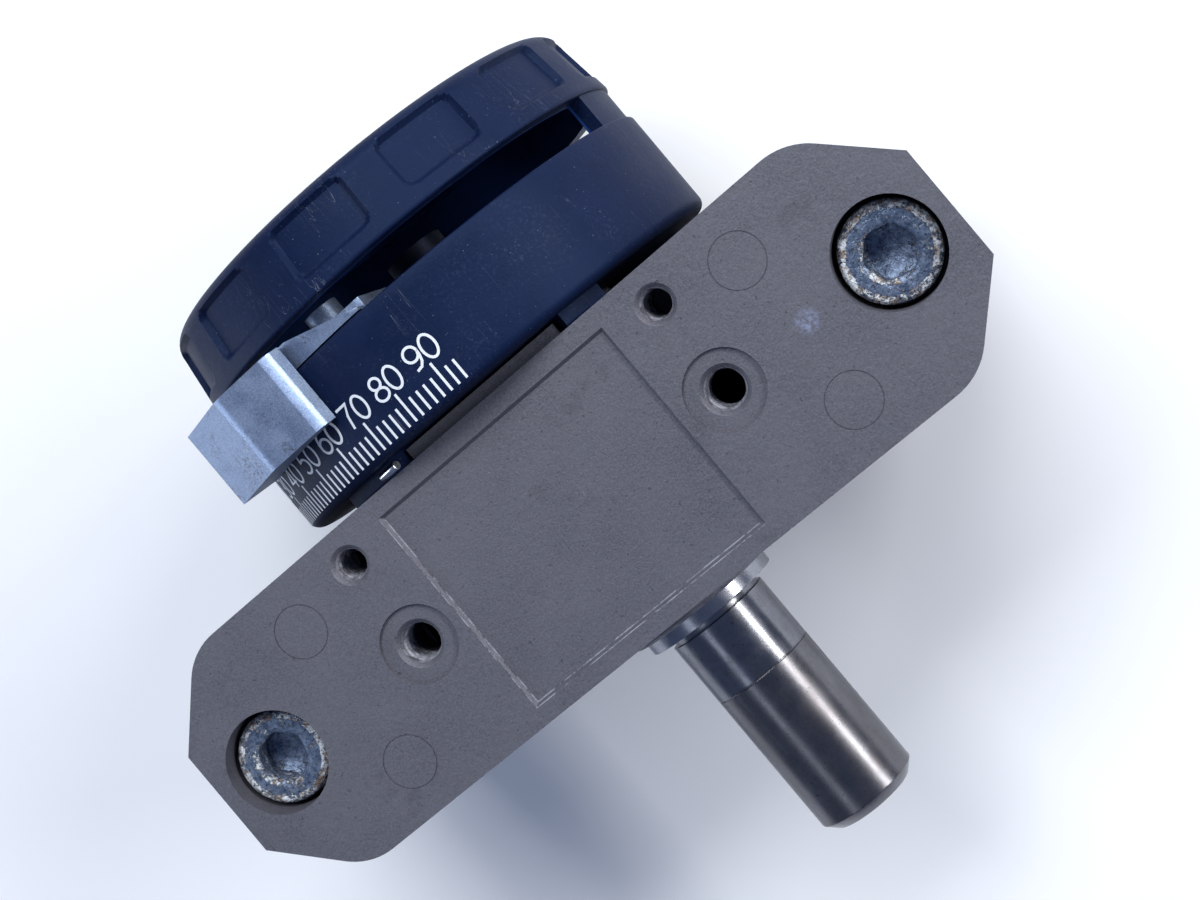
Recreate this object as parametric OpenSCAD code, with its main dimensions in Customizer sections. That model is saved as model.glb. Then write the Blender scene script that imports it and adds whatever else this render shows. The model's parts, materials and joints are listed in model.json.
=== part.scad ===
// Rotary vane drive: a two-part housing with a single vane on a through shaft,
// and a scale cover behind it that holds two adjustable end stops.
// Millimetres. The shaft runs along Y, with its output end towards -Y.
// X is the long axis of the housing and +Z is the normal of its port face.
// The origin is on the shaft axis, in the front mounting face.

/* [Housing] */
// Length of the housing over its end flats, along X
body_l = 94.4; // [90:0.2:100]
// Width of the housing along the shaft
body_w = 28.4; // [28:0.1:30]
// Height of the port face above the shaft axis
face_z = 21.5; // [21:0.1:24]
// Length of the straight flat at each end
end_flat = 12.4; // [11:0.2:14]
// Radius between the long edges and the corner chamfers
corner_r = 7; // [4:0.5:8]
// Outer radius of the round back
barrel_r = 29; // [28.5:0.1:30]
// Depth of the two ears below the split plane
ear_depth = 14; // [12:0.5:16]
// Depth of the flat underside below the shaft axis
base_depth = 28.2; // [28:0.1:28.4]
// Casting draft of the end faces, in degrees
draft = 2.5; // [1:0.1:3]

/* [Chamber] */
// Radius of the vane chamber
chamber_r = 25; // [23:0.1:25]
// Thickness of the front and rear walls of the chamber
wall = 6.2; // [6:0.1:6.6]
// Half angle of the fixed sector between the two ports
sector_half = 45; // [43:0.5:46]

/* [Shaft] */
// Radius of the output shaft
shaft_r = 6; // [5.8:0.05:6.2]
// Reach of the shaft beyond the front face
shaft_reach = 30; // [26:0.5:34]
// Radius of the cast pilot ring round the shaft
pilot_r = 9.5; // [9:0.1:10]
// Reach of the pilot ring beyond the front face
pilot_reach = 1.7; // [1.4:0.1:2]
// Radius of the steel collar round the shaft
collar_r = 8; // [7.9:0.05:8.2]
// Reach of the steel collar beyond the front face
collar_reach = 3.2; // [2.8:0.1:3.3]

/* [Scale cover] */
// Outer radius of the scale cover
cover_r = 27; // [26.8:0.1:27.3]
// Distance of the cover's lower rim from the front face
rim_y = 30; // [30:0.1:30.4]
// Distance of the slot's lower edge from the front face
slot_y0 = 42.1; // [42:0.1:42.2]
// Distance of the slot's upper edge from the front face
slot_y1 = 46; // [45.5:0.1:47]
// Distance of the cover's end from the front face
cover_end_y = 54.6; // [54:0.1:56]

/* [Stops] */
// Angle that each stop allows, counted from the middle position
stop_set = 66; // [60:1:68]
// Direction of the middle position, from +Z towards +X
mid_angle = -87.7; // [-90:0.1:-86]

/* [Hidden] */

$fn = 96;
eps = 0.01;             // overshoot of a cutting shape
arc_step = 5;           // angle step of the outline's rounded corners
big = 200;              // reach of a cutting wedge
mid_y = body_w / 2;     // middle of the housing along the shaft
half_l = body_l / 2;
gasket_t = 0.3;         // thickness of the split-plane gasket
split = gasket_t / 2;
corner = (body_w - end_flat) / 2;
run_gap = 0.3;          // gap between curved faces that move past each other
fit_gap = 0.04;         // radial clearance of a running fit

screw_x = 40;           // M6 housing screws
screw_r = 3;
screw_head_r = 5;
screw_head_h = 6;
head_recess = 1.8;
counterbore_r = 5.5;
counterbore_h = screw_head_h + head_recess;
socket_af = 5;          // across flats of the hex socket
shank_l = 25;

port_x = 20;            // M5 ports
port_r = 2.1;
port_face_r = 4.1;
port_face_depth = 0.4;
port_chamfer_r = 2.55;

tap4_x = 20.2;          // M4 holes beside the scale cover
tap4_y = mid_y + 10.4;
tap4_r = 1.65;
tap4_chamfer_r = 2.1;
tap4_depth = 9;

front_tap_x = 32;       // M5 holes in the front face
front_tap_z = 8;
front_tap_r = 2.1;
front_tap_depth = 10;

recess_x = 14.8;        // half width of the plate recess in the port face
recess_y0 = 1.95;
recess_y1 = 26.3;
recess_depth = 0.4;
recess_slope = 0.35;    // sideways run of the recess's sloped walls

dowel_x = 31;           // dowel pins across the split plane
dowel_y = [6.5, body_w - 6.5];
dowel_r = 1.5;
dowel_h = 8;

bore_r = 7.6;           // through bore that carries seals and bushes
seal_r = 7.2;
lip_r = 6.3;
bush_y0 = 1.5;
seat_y = 0.05;          // shallow seat of the pilot ring in the front face
pilot_edge = 0.3;       // chamfer of the pilot ring
collar_y = 0.6 - pilot_reach;
seal_y = 0.9 - collar_reach;
rear_bush_y1 = 27.4;
neck_r = 13.5;          // round neck behind the housing
neck_y = 33;
pad_z = 20.3;           // pad behind the housing, above the neck
pad_t = 1.3;
pad_angles = [-22.5, 28.7];
circlip_y = 31.2;
circlip_t = 1;
circlip_r = 8.8;

hub_r = 8.4;
hub_gap = 0.2;
hub_y0 = wall + hub_gap;
hub_y1 = body_w - wall - hub_gap;
shim_t = 0.15;
vane_half = 4;
vane_r = 22.8;
vane_y = [wall + 1.4, body_w - wall - 1.4];
vane_root_z = 6;
seal_half = 2.2;
seal_tip_r = chamber_r - run_gap;
stator_seal_half = 1.5;
stator_seal_r = 13;

groove_y = 3.7;         // relief groove where the output shaft starts
groove_w = 0.7;
groove_r = 5.6;
end_chamfer = 1.2;
journal_y1 = 34;        // end of the 12 mm journal
tail_r = 5;
tail_y1 = 43;

lever_y = [38.4, 41.8];
lever_hub_r = 9.2;
lever_hub_y = [34.2, 43];
lever_r = 18.3;
lever_half = 9;         // half angle of the lever arm
buffer_t = 2;           // angle covered by each elastic buffer
lever_reach = lever_half + buffer_t;
key_w = 3;
key_l = 7;

cover_wall = 2;
cover_in = cover_r - cover_wall;
floor_t = 2;
cap_r = 26;
cap_round = 1.8;
slot_end = 73;          // the slot stops on either side of a bridge at +X
opening_r = 19;
ledge_r = 24;
foot_angles = [-34.6, 130, -150];
foot_half = 10.9;
stub_angles = [30.2, 42.6];
foot_r0 = 15;
foot_r1 = 24.4;
cover_screw_at = 17.5;
m3_r = 1.5;
m3_head_r = 2.75;
m3_head_h = 2.2;
m3_tip_y = 23.6;

ring_r0 = 18.6;         // ring that the stops are clamped to
ring_r1 = 24.95;
ring_y = [38.2, 42];
track_at = 21.8;
track_half = 1.4;
clamp_r = 1.25;
clamp_head_r = 1.9;
clamp_head_h = 2;
nut_w = 4;
nut_y = [35.9, 38.1];

hook_y = [36.2, 45];    // outer block of a stop
hook_in = cover_r + 0.35;
hook_at = mid_angle + 50.7;
hook_half = 13;
web_y = [42.3, 43.6];
web_in = 24.2;
arm_r = 26.6;           // outer face of the arm inside the slot
arm_x = [-9.5, -1];     // stretch over which the arm tapers
edge_angle = mid_angle + stop_set;
lug_face = edge_angle + lever_reach + 0.5;
lug_end = lug_face + 8;
clamp_angle = edge_angle + 6.6;

// Turns local Z into Y, so that turned parts lie along the shaft
module along_y() { rotate([-90, 0, 0]) children(); }

// Turns local +X to the direction t, counted from +Z towards +X
module towards(t) { rotate([0, 0, t - 90]) children(); }

// Plain cylinder on the shaft axis from y0 to y1
module disc(r, y0, y1) { along_y() translate([0, 0, y0]) cylinder(r = r, h = y1 - y0); }

// Ring on the shaft axis
module ring(r_in, r_out, y0, y1) {
    difference() {
        disc(r_out, y0, y1);
        disc(r_in, y0 - eps, y1 + eps);
    }
}

// Endless wedge from direction t0 to t1, under 180 degrees, between y0 and y1
module wedge(t0, t1, y0, y1) {
    mid = (t0 + t1) / 2;
    reach = [for (t = [t0, mid, t1]) [big * sin(t), -big * cos(t)]];
    along_y() translate([0, 0, y0]) linear_extrude(y1 - y0) polygon(concat([[0, 0]], reach));
}

// Part of a ring between two directions
module sector(r_in, r_out, t0, t1, y0, y1) {
    intersection() {
        ring(r_in, r_out, y0, y1);
        wedge(t0, t1, y0 - eps, y1 + eps);
    }
}

// Cylinder along Z, standing on z0
module post(x, y, z0, z1, r) { translate([x, y, z0]) cylinder(r = r, h = z1 - z0); }

// Cylinder parallel to the shaft, at radius at in direction t
module pin_at(at, t, r, y0, y1) {
    along_y() towards(t) translate([at, 0, y0]) cylinder(r = r, h = y1 - y0);
}

// Elongated octagon with its long corners rounded by arcs of 45 degrees
module body_outline() {
    arc_x = half_l - corner - corner_r * tan(22.5);
    arc_y = mid_y - corner_r;
    quarter = concat([[half_l, end_flat / 2]],
                     [for (a = [45:arc_step:90]) [arc_x + corner_r * cos(a), arc_y + corner_r * sin(a)]]);
    last = len(quarter) - 1;
    function flip(p, sx, sy) = [p.x * sx, p.y * sy + mid_y];
    polygon(concat([for (p = quarter) flip(p, 1, 1)],
                   [for (i = [last:-1:0]) flip(quarter[i], -1, 1)],
                   [for (p = quarter) flip(p, -1, -1)],
                   [for (i = [last:-1:0]) flip(quarter[i], 1, -1)]));
}

// Endless prism along direction turn, w to either side at the port face, that narrows downwards
module end_prism(turn, w) {
    top = face_z + 1;
    bottom = -ear_depth - 1;
    w_top = w + tan(draft);
    w_bottom = w - (face_z - bottom) * tan(draft);
    translate([0, mid_y, 0]) rotate([90, 0, turn]) linear_extrude(big, center = true)
        polygon([[-w_top, top], [w_top, top], [w_bottom, bottom], [-w_bottom, bottom]]);
}

// Housing block between two heights, with drafted end faces
module body_block(z0, z1) {
    slant_w = (half_l + end_flat / 2) * sqrt(0.5);
    intersection() {
        translate([0, 0, z0]) linear_extrude(z1 - z0) body_outline();
        end_prism(0, half_l);
        end_prism(45, slant_w);
        end_prism(-45, slant_w);
    }
}

// Chamber space around the shaft, without the fixed sector
module chamber_space() {
    difference() {
        disc(chamber_r, wall, body_w - wall);
        wedge(-sector_half, sector_half, wall - 1, body_w - wall + 1);
    }
    disc(hub_r + run_gap, wall, body_w - wall);
}

// Bores along the shaft that both halves share
module shaft_bores() {
    disc(bore_r, -1, neck_y + 1);
    disc(pilot_r, -1, seat_y);
    disc(circlip_r, circlip_y, circlip_y + circlip_t);
}

module dowels(gap) {
    for (sx = [-1, 1], y = dowel_y)
        post(sx * dowel_x, y, -dowel_h / 2 - gap, dowel_h / 2 + gap, dowel_r + gap);
}

module front_taps() {
    for (sx = [-1, 1], sz = [-1, 1])
        translate([sx * front_tap_x, 0, sz * front_tap_z]) disc(front_tap_r, -1, front_tap_depth);
}

module cover_screw_holes() {
    for (t = foot_angles) pin_at(cover_screw_at, t, m3_r + 0.02, m3_tip_y - 0.4, neck_y);
}

// Cross section of the plate recess, half wide to either side at the port face
module recess_section(half) {
    bottom = half - recess_slope;
    top = half + recess_slope;
    polygon([[-bottom, face_z - recess_depth], [bottom, face_z - recess_depth],
             [top, face_z + recess_depth], [-top, face_z + recess_depth]]);
}

// Shallow recess for a name plate, with sloped walls
module plate_recess() {
    translate([0, (recess_y0 + recess_y1) / 2, 0]) intersection() {
        rotate([90, 0, 0]) linear_extrude(big, center = true) recess_section(recess_x);
        rotate([90, 0, 90]) linear_extrude(big, center = true)
            recess_section((recess_y1 - recess_y0) / 2);
    }
}

module label_half() {
    color("dimgray") difference() {
        union() {
            body_block(split, face_z);
            intersection() {
                disc(neck_r, body_w - 1, neck_y);
                translate([-big / 2, 0, split]) cube(big);
            }
            intersection() {
                translate([-big / 2, body_w - 1, split]) cube([big, pad_t + 1, pad_z - split]);
                wedge(pad_angles[0], pad_angles[1], body_w - 2, body_w + 2);
            }
        }
        chamber_space();
        shaft_bores();
        dowels(0.02);
        front_taps();
        cover_screw_holes();
        translate([-stator_seal_half, wall, hub_r])
            cube([2 * stator_seal_half, body_w - 2 * wall, stator_seal_r - hub_r]);
        for (sx = [-1, 1]) {
            post(sx * screw_x, mid_y, -1, face_z, screw_r + 0.3);
            post(sx * screw_x, mid_y, face_z - counterbore_h, face_z + 1, counterbore_r);
            post(sx * port_x, mid_y, chamber_r / 2, face_z + 1, port_r);
            post(sx * port_x, mid_y, face_z - port_face_depth, face_z + 1, port_face_r);
            translate([sx * port_x, mid_y, face_z - port_face_depth - 0.45])
                cylinder(r1 = port_r, r2 = port_chamfer_r, h = 0.46);
            post(sx * tap4_x, tap4_y, face_z - tap4_depth, face_z + 1, tap4_r);
            translate([sx * tap4_x, tap4_y, face_z - 0.45])
                cylinder(r1 = tap4_r, r2 = tap4_chamfer_r, h = 0.46);
        }
        plate_recess();
    }
}

module rear_half() {
    color("dimgray") difference() {
        union() {
            body_block(-ear_depth, -split);
            intersection() {
                union() {
                    disc(barrel_r, 0, body_w);
                    disc(neck_r, body_w - 1, neck_y);
                }
                translate([-big / 2, -1, -base_depth]) cube([big, big, base_depth - split]);
            }
        }
        chamber_space();
        shaft_bores();
        dowels(0.02);
        front_taps();
        cover_screw_holes();
        for (sx = [-1, 1]) post(sx * screw_x, mid_y, -ear_depth - 1, 1, screw_r + 0.02);
    }
}

module body_gasket() {
    color("black") difference() {
        body_block(-split, split);
        translate([-chamber_r, wall, -1]) cube([2 * chamber_r, body_w - 2 * wall, 2]);
        translate([-pilot_r, -1, -1]) cube([2 * pilot_r, body_w + 2, 2]);
        dowels(0.02);
        for (sx = [-1, 1]) post(sx * screw_x, mid_y, -1, 1, screw_r + 0.3);
    }
}

module body_screws() {
    top = face_z - head_recess;
    color("slategray") for (sx = [-1, 1]) difference() {
        union() {
            post(sx * screw_x, mid_y, top - screw_head_h, top - 0.5, screw_head_r);
            translate([sx * screw_x, mid_y, top - 0.5])
                cylinder(r1 = screw_head_r, r2 = screw_head_r - 0.5, h = 0.5);
            post(sx * screw_x, mid_y, top - screw_head_h - shank_l, top - screw_head_h, screw_r);
        }
        translate([sx * screw_x, mid_y, top - 3.2])
            cylinder(r = socket_af / sqrt(3), h = 4, $fn = 6);
    }
}

module dowel_pins() { color("silver") dowels(0); }

module pilot_ring() {
    color("gray") difference() {
        union() {
            disc(pilot_r, pilot_edge - pilot_reach, seat_y);
            along_y() translate([0, 0, -pilot_reach])
                cylinder(r1 = pilot_r - pilot_edge, r2 = pilot_r, h = pilot_edge);
        }
        disc(bore_r, -pilot_reach - 1, 1);
        disc(collar_r, -pilot_reach - 1, collar_y);
    }
}

module shaft_collar() {
    color("silver") difference() {
        union() {
            disc(collar_r, -collar_reach, collar_y);
            disc(bore_r, collar_y - eps, bush_y0 - 0.1);
        }
        disc(lip_r, -collar_reach - 1, bush_y0);
        disc(seal_r, seal_y, bush_y0);
    }
}

module front_seal() { color("black") ring(shaft_r + fit_gap, seal_r, seal_y, bush_y0 - 0.3); }

module front_bush() { color("goldenrod") ring(shaft_r + fit_gap, bore_r, bush_y0, wall); }

module rear_bush() {
    color("goldenrod") ring(shaft_r + fit_gap, bore_r, body_w - wall, rear_bush_y1);
}

module rear_seal() { color("black") ring(shaft_r + fit_gap, bore_r, rear_bush_y1 + 0.1, circlip_y); }

module seal_circlip() {
    color("silver") difference() {
        ring(bore_r - 1.1, circlip_r, circlip_y, circlip_y + circlip_t);
        wedge(-12, 12, circlip_y - 1, circlip_y + circlip_t + 1);
    }
}

module stator_seal() {
    color("black") difference() {
        translate([-stator_seal_half, wall, hub_r - 1])
            cube([2 * stator_seal_half, body_w - 2 * wall, stator_seal_r - hub_r + 1]);
        disc(hub_r + fit_gap, wall - 1, body_w);
    }
}

module main_shaft() {
    color("lightsteelblue") difference() {
        union() {
            along_y() translate([0, 0, -shaft_reach])
                cylinder(r1 = shaft_r - end_chamfer, r2 = shaft_r, h = end_chamfer);
            disc(shaft_r, end_chamfer - shaft_reach, journal_y1);
            disc(hub_r, hub_y0, hub_y1);
            disc(tail_r, journal_y1 - 1, tail_y1);
        }
        ring(groove_r, shaft_r + 1, -groove_y - groove_w / 2, -groove_y + groove_w / 2);
        translate([-vane_half, vane_y[0], -hub_r - 1])
            cube([2 * vane_half, vane_y[1] - vane_y[0], hub_r + 1 - vane_root_z]);
        disc(2.02, tail_y1 - 11, tail_y1 + 1);
        key_block(0);
    }
}

// Parallel key between the shaft's tail and the lever
module key_block(gap) {
    along_y() towards(mid_angle + 180)
        translate([tail_r - 1.8, -key_w / 2 - gap, lever_hub_y[0] + 0.6])
            cube([3, key_w + 2 * gap, key_l]);
}

module vane() {
    color("lightgray") difference() {
        translate([-vane_half, vane_y[0], -vane_r])
            cube([2 * vane_half, vane_y[1] - vane_y[0], vane_r - vane_root_z]);
        for (sx = [-1, 1]) translate([sx * vane_half, mid_y, -(vane_r + hub_r) / 2])
            rotate([0, 90, 0]) cylinder(r = 4.2, h = 3, center = true);
    }
}

module vane_seal() {
    color("black") difference() {
        translate([-seal_half, hub_y0, -seal_tip_r])
            cube([2 * seal_half, hub_y1 - hub_y0, seal_tip_r - 2]);
        translate([-seal_half - 1, vane_y[0], -vane_r])
            cube([2 * seal_half + 2, vane_y[1] - vane_y[0], vane_r]);
        disc(hub_r, 0, body_w);
        ring(seal_tip_r, seal_tip_r + 5, 0, body_w);
    }
}

module hub_shims() {
    color("gold") {
        ring(shaft_r + 0.1, hub_r - 0.4, wall + 0.02, wall + 0.02 + shim_t);
        ring(shaft_r + 0.1, hub_r - 0.4, hub_y1 + 0.03, hub_y1 + 0.03 + shim_t);
    }
}

module stop_lever() {
    color("slategray") difference() {
        union() {
            disc(lever_hub_r, lever_hub_y[0], lever_hub_y[1]);
            sector(tail_r + 1, lever_r, mid_angle - lever_half, mid_angle + lever_half,
                   lever_y[0], lever_y[1]);
        }
        disc(tail_r + 0.02, lever_hub_y[0] - 1, lever_hub_y[1] + 1);
        key_block(0);
    }
}

module lever_buffers() {
    y0 = lever_y[0] + 0.2;
    y1 = lever_y[1] - 0.2;
    color("firebrick") for (s = [-1, 1]) {
        edge = mid_angle + s * lever_half;
        sector(11, lever_r - 0.2, min(edge, edge + s * buffer_t), max(edge, edge + s * buffer_t),
               y0, y1);
    }
}

module lever_key() { color("silver") key_block(0); }

module lever_washer() { color("silver") ring(2.2, 7, tail_y1, tail_y1 + 1); }

module lever_screw() {
    top = tail_y1 + 1;
    color("slategray") difference() {
        union() {
            disc(3.5, top, top + 2.6);
            disc(2, tail_y1 - 9, top);
        }
        along_y() translate([0, 0, top + 0.8]) cylinder(r = 2.5 / sqrt(3), h = 3, $fn = 6);
    }
}

// A stop: an outer block with a bevelled reading edge, a web through the
// cover's slot, a clamping pad, and a lug that the lever runs against
module stop_body() {
    outline = [[7.3, 26], [7.3, 28.3], [1.4, 31.9], [-7.8, 31.4], [-7.8, 24]];
    difference() {
        along_y() towards(hook_at) translate([0, 0, hook_y[0]])
            linear_extrude(hook_y[1] - hook_y[0]) polygon([for (p = outline) [p.y, p.x]]);
        disc(hook_in, 0, cover_end_y);
    }
    sector(web_in, hook_in + 0.5, hook_at - hook_half, hook_at + hook_half, web_y[0], hook_y[1]);
    intersection() {
        sector(web_in, arm_r, hook_at, lug_end, web_y[0], hook_y[1]);
        linear_extrude(big) polygon([[-big, web_y[0]], [-big, hook_y[1]], [arm_x[0], hook_y[1]],
                                     [arm_x[1], web_y[0] + 0.3], [arm_x[1], web_y[0]]]);
    }
    difference() {
        sector(ring_r0 + 0.4, web_in + 0.1, edge_angle - 1, lug_end, web_y[0], web_y[1]);
        pin_at(track_at, clamp_angle, clamp_r + 0.02, 40, 50);
    }
    sector(12.8, ring_r0 + 0.5, lug_face, lug_end, web_y[0], web_y[1]);
    sector(12.8, ring_r0 - 0.3, lug_face, lug_end, lever_y[0], web_y[0] + 0.5);
}

module clamp_screw() {
    color("lightsteelblue") difference() {
        union() {
            pin_at(track_at, clamp_angle, clamp_head_r, web_y[1], web_y[1] + clamp_head_h);
            pin_at(track_at, clamp_angle, clamp_r, nut_y[0], web_y[1]);
        }
        along_y() towards(clamp_angle) translate([track_at, 0, web_y[1] + 0.8])
            cylinder(r = 1 / cos(30), h = 3, $fn = 6);
    }
}

module clamp_nut() {
    color("silver") difference() {
        along_y() towards(clamp_angle) translate([track_at - nut_w / 2, -nut_w / 2, nut_y[0]])
            cube([nut_w, nut_w, nut_y[1] - nut_y[0]]);
        pin_at(track_at, clamp_angle, clamp_r + 0.02, 30, 40);
    }
}

// Mirrors a stop to the other side of the middle position
module other_side() {
    rotate([0, mid_angle, 0]) mirror([1, 0, 0]) rotate([0, -mid_angle, 0]) children();
}

module stop_a() { color("lightsteelblue") stop_body(); }
module stop_a_screw() { clamp_screw(); }
module stop_a_nut() { clamp_nut(); }
module stop_b() { color("lightsteelblue") other_side() stop_body(); }
module stop_b_screw() { other_side() clamp_screw(); }
module stop_b_nut() { other_side() clamp_nut(); }

module stop_ring() {
    start = slot_end - 10;
    color("silver") difference() {
        ring(ring_r0, ring_r1, ring_y[0], ring_y[1]);
        difference() {
            ring(track_at - track_half, track_at + track_half, ring_y[0] - 1, ring_y[1] + 1);
            wedge(start, 180 - start, ring_y[0] - 2, ring_y[1] + 2);
        }
    }
}

module scale_cover() {
    color("midnightblue") difference() {
        union() {
            along_y() rotate_extrude() polygon(cover_profile());
            for (t = foot_angles)
                sector(foot_r0, foot_r1, t - foot_half, t + foot_half, body_w, rim_y + eps);
            sector(foot_r0, foot_r1, stub_angles[0], stub_angles[1], body_w, rim_y + eps);
        }
        difference() {
            ring(cover_in - 0.5, cover_r + 1, slot_y0, slot_y1);
            wedge(slot_end, 180 - slot_end, slot_y0 - 1, slot_y1 + 1);
        }
        for (t = foot_angles) pin_at(cover_screw_at, t, m3_r + 0.1, 20, 40);
        locating_shape(0.02);
    }
}

// Half section of the cover: radius first, then distance along the shaft
function cover_profile() = [
    [neck_r + 0.7, rim_y], [cover_r - 0.4, rim_y], [cover_r, rim_y + 0.4], [cover_r, slot_y1],
    [cover_r - 0.3, slot_y1 + 0.6], [cap_r, cover_end_y - cap_round],
    [cap_r - 0.5, cover_end_y - 0.5], [cap_r - cap_round, cover_end_y], [opening_r, cover_end_y],
    [opening_r, cover_end_y - cover_wall], [cover_in - 1, cover_end_y - cover_wall],
    [cover_in - 0.5, slot_y1], [cover_in, slot_y0], [cover_in, ring_y[0]],
    [ledge_r, ring_y[0]], [ledge_r, ring_y[0] - 1.2], [cover_in, ring_y[0] - 2.2],
    [cover_in, rim_y + floor_t], [neck_r + 0.7, rim_y + floor_t]];

module end_cap() {
    color("midnightblue") {
        disc(opening_r - 0.05, cover_end_y - cover_wall, cover_end_y);
        ring(opening_r - 2, opening_r + 1.2, cover_end_y - cover_wall - 1.2, cover_end_y - cover_wall);
    }
}

module cover_screws() {
    head = rim_y + floor_t;
    color("silver") for (t = foot_angles) difference() {
        union() {
            pin_at(cover_screw_at, t, m3_head_r, head, head + m3_head_h);
            pin_at(cover_screw_at, t, m3_r, m3_tip_y, head);
        }
        along_y() towards(t) translate([cover_screw_at, 0, head + 0.8])
            cylinder(r = 2 / sqrt(3), h = 3, $fn = 6);
    }
}

// Small cross pin in the foot that shows beside the neck
module locating_shape(gap) {
    along_y() towards(-26) translate([foot_r1 - 0.2, 0, body_w + 0.7])
        rotate([90, 0, 0]) cylinder(r = 0.5 + gap, h = 2.6 + 2 * gap, center = true);
}

module locating_pin() { color("silver") locating_shape(0); }

label_half();
rear_half();
body_gasket();
body_screws();
dowel_pins();
pilot_ring();
shaft_collar();
front_seal();
front_bush();
rear_bush();
rear_seal();
seal_circlip();
stator_seal();
main_shaft();
vane();
vane_seal();
hub_shims();
stop_lever();
lever_buffers();
lever_key();
lever_washer();
lever_screw();
stop_a();
stop_a_screw();
stop_a_nut();
stop_b();
stop_b_screw();
stop_b_nut();
stop_ring();
scale_cover();
end_cap();
cover_screws();
locating_pin();
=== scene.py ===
import json
import math

import bmesh
import bpy
from mathutils import Matrix, Vector, noise


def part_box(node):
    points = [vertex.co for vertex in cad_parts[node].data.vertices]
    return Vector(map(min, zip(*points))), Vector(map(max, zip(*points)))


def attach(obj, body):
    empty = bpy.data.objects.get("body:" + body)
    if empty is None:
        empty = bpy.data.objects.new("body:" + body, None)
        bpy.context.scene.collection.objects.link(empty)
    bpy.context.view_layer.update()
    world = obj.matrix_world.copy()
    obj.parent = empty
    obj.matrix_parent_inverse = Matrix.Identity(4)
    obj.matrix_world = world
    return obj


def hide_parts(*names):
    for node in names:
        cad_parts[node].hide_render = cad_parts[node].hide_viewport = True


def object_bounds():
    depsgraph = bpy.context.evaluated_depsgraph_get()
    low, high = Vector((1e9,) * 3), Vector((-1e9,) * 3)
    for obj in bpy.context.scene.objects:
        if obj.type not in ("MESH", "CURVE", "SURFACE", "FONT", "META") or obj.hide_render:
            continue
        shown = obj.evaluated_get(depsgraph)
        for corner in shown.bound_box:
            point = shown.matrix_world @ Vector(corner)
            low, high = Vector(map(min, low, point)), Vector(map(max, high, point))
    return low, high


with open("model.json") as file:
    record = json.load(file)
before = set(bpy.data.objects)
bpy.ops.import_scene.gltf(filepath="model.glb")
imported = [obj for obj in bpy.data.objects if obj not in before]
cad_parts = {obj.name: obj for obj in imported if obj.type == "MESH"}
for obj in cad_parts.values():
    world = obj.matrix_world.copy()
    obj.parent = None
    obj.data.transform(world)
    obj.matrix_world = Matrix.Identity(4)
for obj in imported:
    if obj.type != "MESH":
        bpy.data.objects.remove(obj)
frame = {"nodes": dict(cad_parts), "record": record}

MM = 0.001
CAD_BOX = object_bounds()
RECORD = frame["record"]
MOUNTS = {mount["name"]: mount for mount in RECORD["mounts"]}

# Driving places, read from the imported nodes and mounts, in metres
COVER_LOW, COVER_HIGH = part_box("scale_cover")
SCREW_LOW, SCREW_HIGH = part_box("body_screws")
STOP_LOW, STOP_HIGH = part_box("stop_a")
FACE_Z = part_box("label_half")[1].z   # port face
RING_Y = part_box("stop_ring")[0].y    # lower face of the clamping ring
CAP_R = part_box("end_cap")[1].x       # radius of the plug in the cover's end
BODY_W = COVER_LOW.y                 # rear face of the housing
MID_Y = BODY_W / 2
SHAFT_R = MOUNTS["output_shaft"]["dims"]["r_mm"] * MM

COVER_R = 27 * MM                    # outer radius of the scale cover
COVER_WALL = 2 * MM
COVER_END = COVER_HIGH.y
RIM_Y = BODY_W + 1.6 * MM            # lower rim of the cover
SLOT_Y0 = COVER_END - 12.5 * MM      # slot that the stops look out of
SLOT_Y1 = COVER_END - 8.6 * MM
BRIDGE = (73, 107)                   # angles between which the slot is closed
MID_ANGLE = -87.7                    # zero of the scale, from +Z towards +X


# ---------------------------------------------------------------- camera

LENS, SENSOR = 61.47, 36              # mm
CAMERA_PLACE = Vector((54.09, 17.86, 212.72)) * MM
CAMERA_RIGHT = Vector((0.74373, -0.64325, -0.18192))
CAMERA_BACK = Vector((0.23939, 0.00219, 0.97092))


def add_camera():
    """A 61 mm lens above the port face, turned so that the drum is at the upper left."""
    data = bpy.data.cameras.new("camera")
    data.lens = LENS
    data.sensor_width = SENSOR
    data.clip_start, data.clip_end = 0.01, 5
    camera = bpy.data.objects.new("camera", data)
    bpy.context.scene.collection.objects.link(camera)
    back = CAMERA_BACK.normalized()
    up = back.cross(CAMERA_RIGHT.normalized()).normalized()
    turn = Matrix((up.cross(back), up, back)).transposed().to_4x4()
    camera.matrix_world = Matrix.Translation(CAMERA_PLACE) @ turn
    bpy.context.scene.camera = camera


# ---------------------------------------------------------------- materials

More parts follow.
